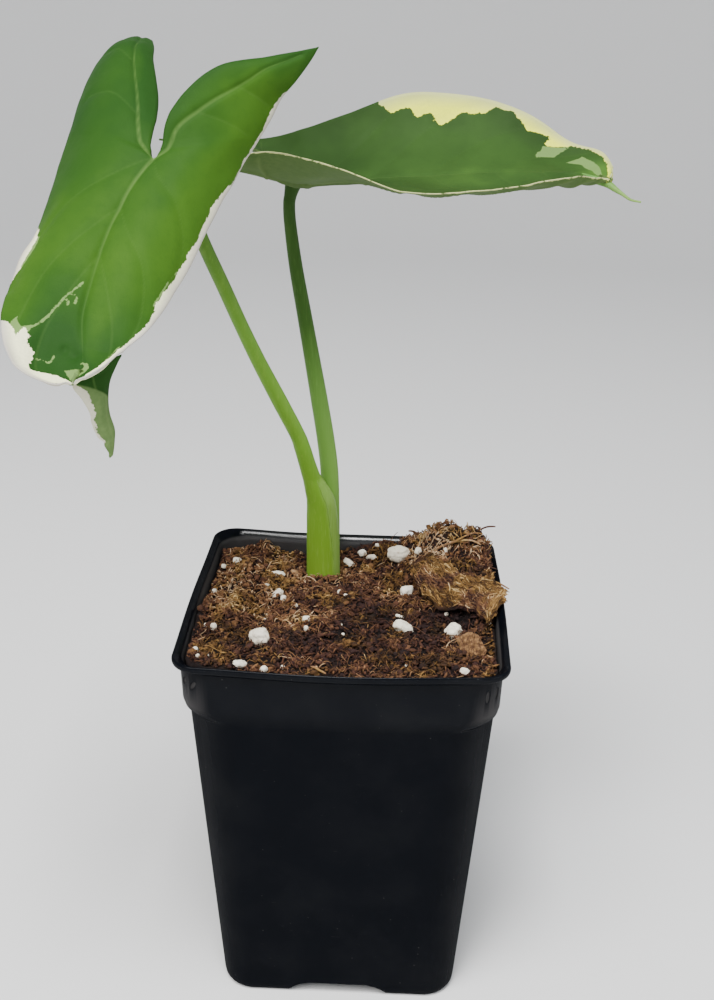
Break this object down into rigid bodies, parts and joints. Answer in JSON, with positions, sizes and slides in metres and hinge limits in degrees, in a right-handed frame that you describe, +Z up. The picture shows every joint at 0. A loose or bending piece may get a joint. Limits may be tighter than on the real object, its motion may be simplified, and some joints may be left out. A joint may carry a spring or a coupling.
{
  "type": "potted xanthosoma",
  "caption": "Potted aroid with arrow-shaped variegated leaves on slender stalks, each leaf ending in a cup and tail, in a square black nursery pot filled with coir.",
  "frame": {"origin": "middle of the whole plant's footprint, on the surface that the pot stands on", "axes": "+Z up, along the stalks; the front of the plant, where the left-hand leaf hangs forward, faces -Y; +X to the viewer's right"},
  "size_m": [0.172, 0.1472, 0.3136],
  "materials": {
    "pot_plastic": "satin",
    "fill": "matte",
    "coir_mat": "matte",
    "bark": "matte",
    "corm_flesh": "matte",
    "stalk_skin": "satin",
    "leaf_skin": "satin"
  },
  "bodies": {
    "root": {"pot": "pot_plastic", "soil": "fill", "coir_flap": "coir_mat", "bark_chip": "bark", "corm": "corm_flesh", "petiole_left": "stalk_skin", "petiole_right": "stalk_skin", "leaf_left": "leaf_skin", "leaf_right": "leaf_skin"}
  },
  "joints": []
}
